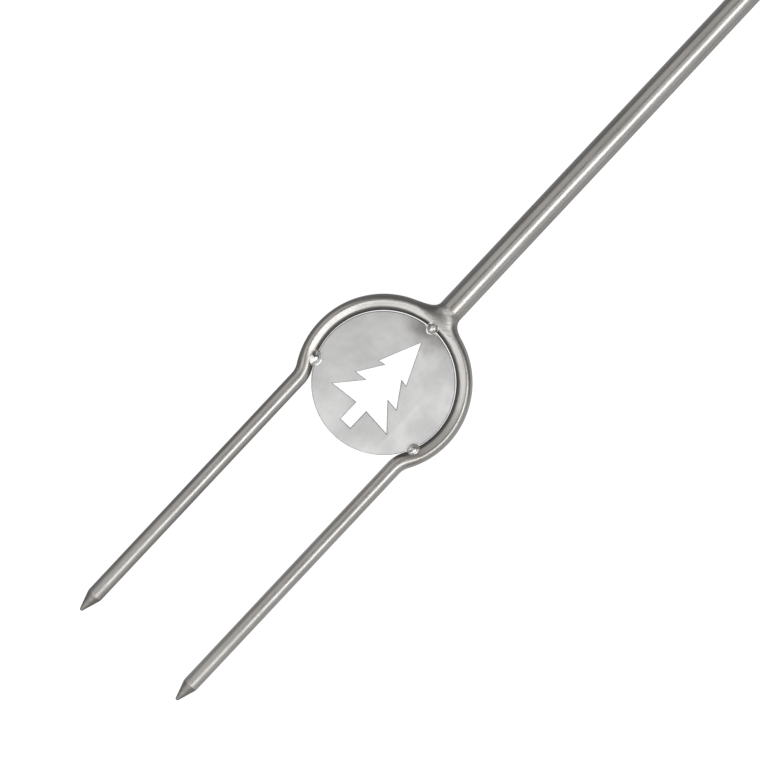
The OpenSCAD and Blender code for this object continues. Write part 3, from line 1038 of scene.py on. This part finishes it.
def make_floor():
    """A pale sweep that touches the grip's belly and the undersides of the prongs. To the
    camera it is a lit white ground; in the steel it mirrors as a dim room."""
    belly_x = cap_front + SWELL_AT
    rest_x = prong_tip - POINT_L
    slope = (grip_r - wire_r) / (rest_x - belly_x)
    reach = 12.0
    clear = 0.02 * MM
    corners = [
        (belly_x + x, y, -grip_r - clear + slope * x)
        for x, y in ((-reach, -reach), (reach, -reach), (reach, reach), (-reach, reach))
    ]
    mesh = bpy.data.meshes.new("floor")
    mesh.from_pydata(corners, [], [(0, 1, 2, 3)])
    floor = bpy.data.objects.new("floor", mesh)
    bpy.context.scene.collection.objects.link(floor)
    floor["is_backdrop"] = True
    material = bpy.data.materials.new("pale_floor")
    material.use_nodes = True
    tree = material.node_tree
    tree.nodes.remove(tree.nodes["Principled BSDF"])
    seen = add(tree, "ShaderNodeLightPath").outputs["Is Camera Ray"]
    paper = add(tree, "ShaderNodeBsdfDiffuse", {"Color": (0.6, 0.6, 0.6, 1)}).outputs[0]
    glow = add(tree, "ShaderNodeEmission", {"Color": (1, 1, 1, 1), "Strength": 0.86}).outputs[0]
    white = add(tree, "ShaderNodeAddShader", {0: paper, 1: glow}).outputs[0]
    y = add(tree, "ShaderNodeSeparateXYZ", {
        0: add(tree, "ShaderNodeTexCoord").outputs["Object"],
    }).outputs["Y"]
    lit_side = ranged(tree, y, -30 * MM, 30 * MM, 0.2, 0.5)
    dim = add(tree, "ShaderNodeEmission", {"Strength": lit_side}).outputs[0]
    both = add(tree, "ShaderNodeMixShader", {0: seen, 1: dim, 2: white}).outputs[0]
    tree.links.new(both, tree.nodes["Material Output"].inputs["Surface"])
    mesh.materials.append(material)


def make_world():
    """A dim room, which shows white behind the floor's far edge."""
    world = bpy.data.worlds.new("room")
    bpy.context.scene.world = world
    world.use_nodes = True
    tree = world.node_tree
    dim = tree.nodes["Background"]
    dim.inputs["Color"].default_value = (1, 1, 1, 1)
    dim.inputs["Strength"].default_value = 0.16
    white = add(tree, "ShaderNodeBackground", {"Color": (1, 1, 1, 1), "Strength": 1.0}).outputs[0]
    seen = add(tree, "ShaderNodeLightPath").outputs["Is Camera Ray"]
    both = add(tree, "ShaderNodeMixShader", {0: seen, 1: dim.outputs[0], 2: white}).outputs[0]
    tree.links.new(both, tree.nodes["World Output"].inputs["Surface"])


LAMP_AWAY = 1.6                  # from the ring to each lamp


def softbox(name, lean_x, lean_y, wide_x, wide_y, glow, colour=(1, 1, 1)):
    """A rectangular lamp seen from the ring at angles from straight up towards +X and +Y, in
    degrees, with the angles that it fills. glow is its brightness as the steel mirrors it."""
    aim = Vector((ring_x, 0, 0))
    away = Vector((math.tan(math.radians(lean_x)), math.tan(math.radians(lean_y)), 1)).normalized()
    side = (Vector(X_AXIS) - away * away.x).normalized()
    up = away.cross(side)
    size_x = 2 * LAMP_AWAY * math.tan(math.radians(wide_x / 2))
    size_y = 2 * LAMP_AWAY * math.tan(math.radians(wide_y / 2))
    lamp = bpy.data.lights.new(name, "AREA")
    lamp.shape = "RECTANGLE"
    lamp.size = size_x
    lamp.size_y = size_y
    lamp.energy = glow * size_x * size_y * math.pi
    lamp.color = colour
    made = bpy.data.objects.new(name, lamp)
    bpy.context.scene.collection.objects.link(made)
    facing = Matrix((side, up, away)).transposed().to_4x4()
    made.matrix_world = Matrix.Translation(aim + away * LAMP_AWAY) @ facing
    made.visible_camera = False


def make_lights():
    softbox("strip_light", -6, 29, 46, 23, 2.3)
    softbox("front_softbox", 42, -6, 56, 66, 1.05)
    softbox("left_fill", 0, -48, 44, 48, 0.4, (1, 0.97, 0.93))
    softbox("right_fill", -4, 66, 50, 36, 0.4)
    softbox("top_light", -12, 0, 26, 18, 0.6)


def make_camera():
    """Straight down on the disc, with the fork leaning across the picture."""
    view_width = 188.0 * MM
    lens, sensor = 200.0, 36.0
    lens_data = bpy.data.cameras.new("camera")
    lens_data.lens = lens
    lens_data.sensor_width = sensor
    lens_data.clip_start = 0.01
    lens_data.clip_end = 60
    camera = bpy.data.objects.new("camera", lens_data)
    bpy.context.scene.collection.objects.link(camera)
    camera.location = (ring_x + 0.18 * MM, 0.63 * MM, view_width * lens / sensor)
    camera.rotation_euler = (0, 0, math.radians(133.15))
    bpy.context.scene.camera = camera


# ---- Putting it together ---------------------------------------------------------------

def make_finishes():
    """One material for each slot."""
    makers = (wire_steel, sheet_steel, weld_steel, ground_steel,
              bar_steel, turned_steel, oiled_wood, loop_steel)
    return {maker.__name__: maker() for maker in makers}


def fit(piece, body, node, finish, finishes):
    """Gives a piece its finish, and sets it in the frame in place of a CAD node."""
    piece.data.materials.clear()
    piece.data.materials.append(finishes[finish])
    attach(piece, body)
    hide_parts(node)


def make_fork():
    finishes = make_finishes()
    fit(make_bent_wire(), "fork", "fork_wire", "wire_steel", finishes)
    fit(make_disc(), "fork", "emblem_disc", "sheet_steel", finishes)
    fit(make_tack("rear_tack", "tack_weld_rear"), "fork", "tack_weld_rear", "weld_steel", finishes)
    fit(make_tack("left_tack", "tack_weld_left"), "fork", "tack_weld_left", "weld_steel", finishes)
    fit(make_tack("right_tack", "tack_weld_right"), "fork", "tack_weld_right", "weld_steel", finishes)
    fit(make_shaft_weld(), "fork", "shaft_weld", "ground_steel", finishes)
    fit(make_bar(), "fork", "shaft", "bar_steel", finishes)
    fit(make_ferrule(), "fork", "ferrule", "turned_steel", finishes)
    fit(make_pin(), "fork", "ferrule_pin", "turned_steel", finishes)
    fit(make_grip(), "fork", "grip", "oiled_wood", finishes)
    fit(make_end_cap(), "fork", "end_cap", "turned_steel", finishes)
    fit(make_loop(), "hanging_loop", "hanging_loop", "loop_steel", finishes)


make_fork()
make_floor()
make_world()
make_lights()
make_camera()
bpy.context.scene.view_settings.view_transform = "Standard"

low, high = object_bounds()
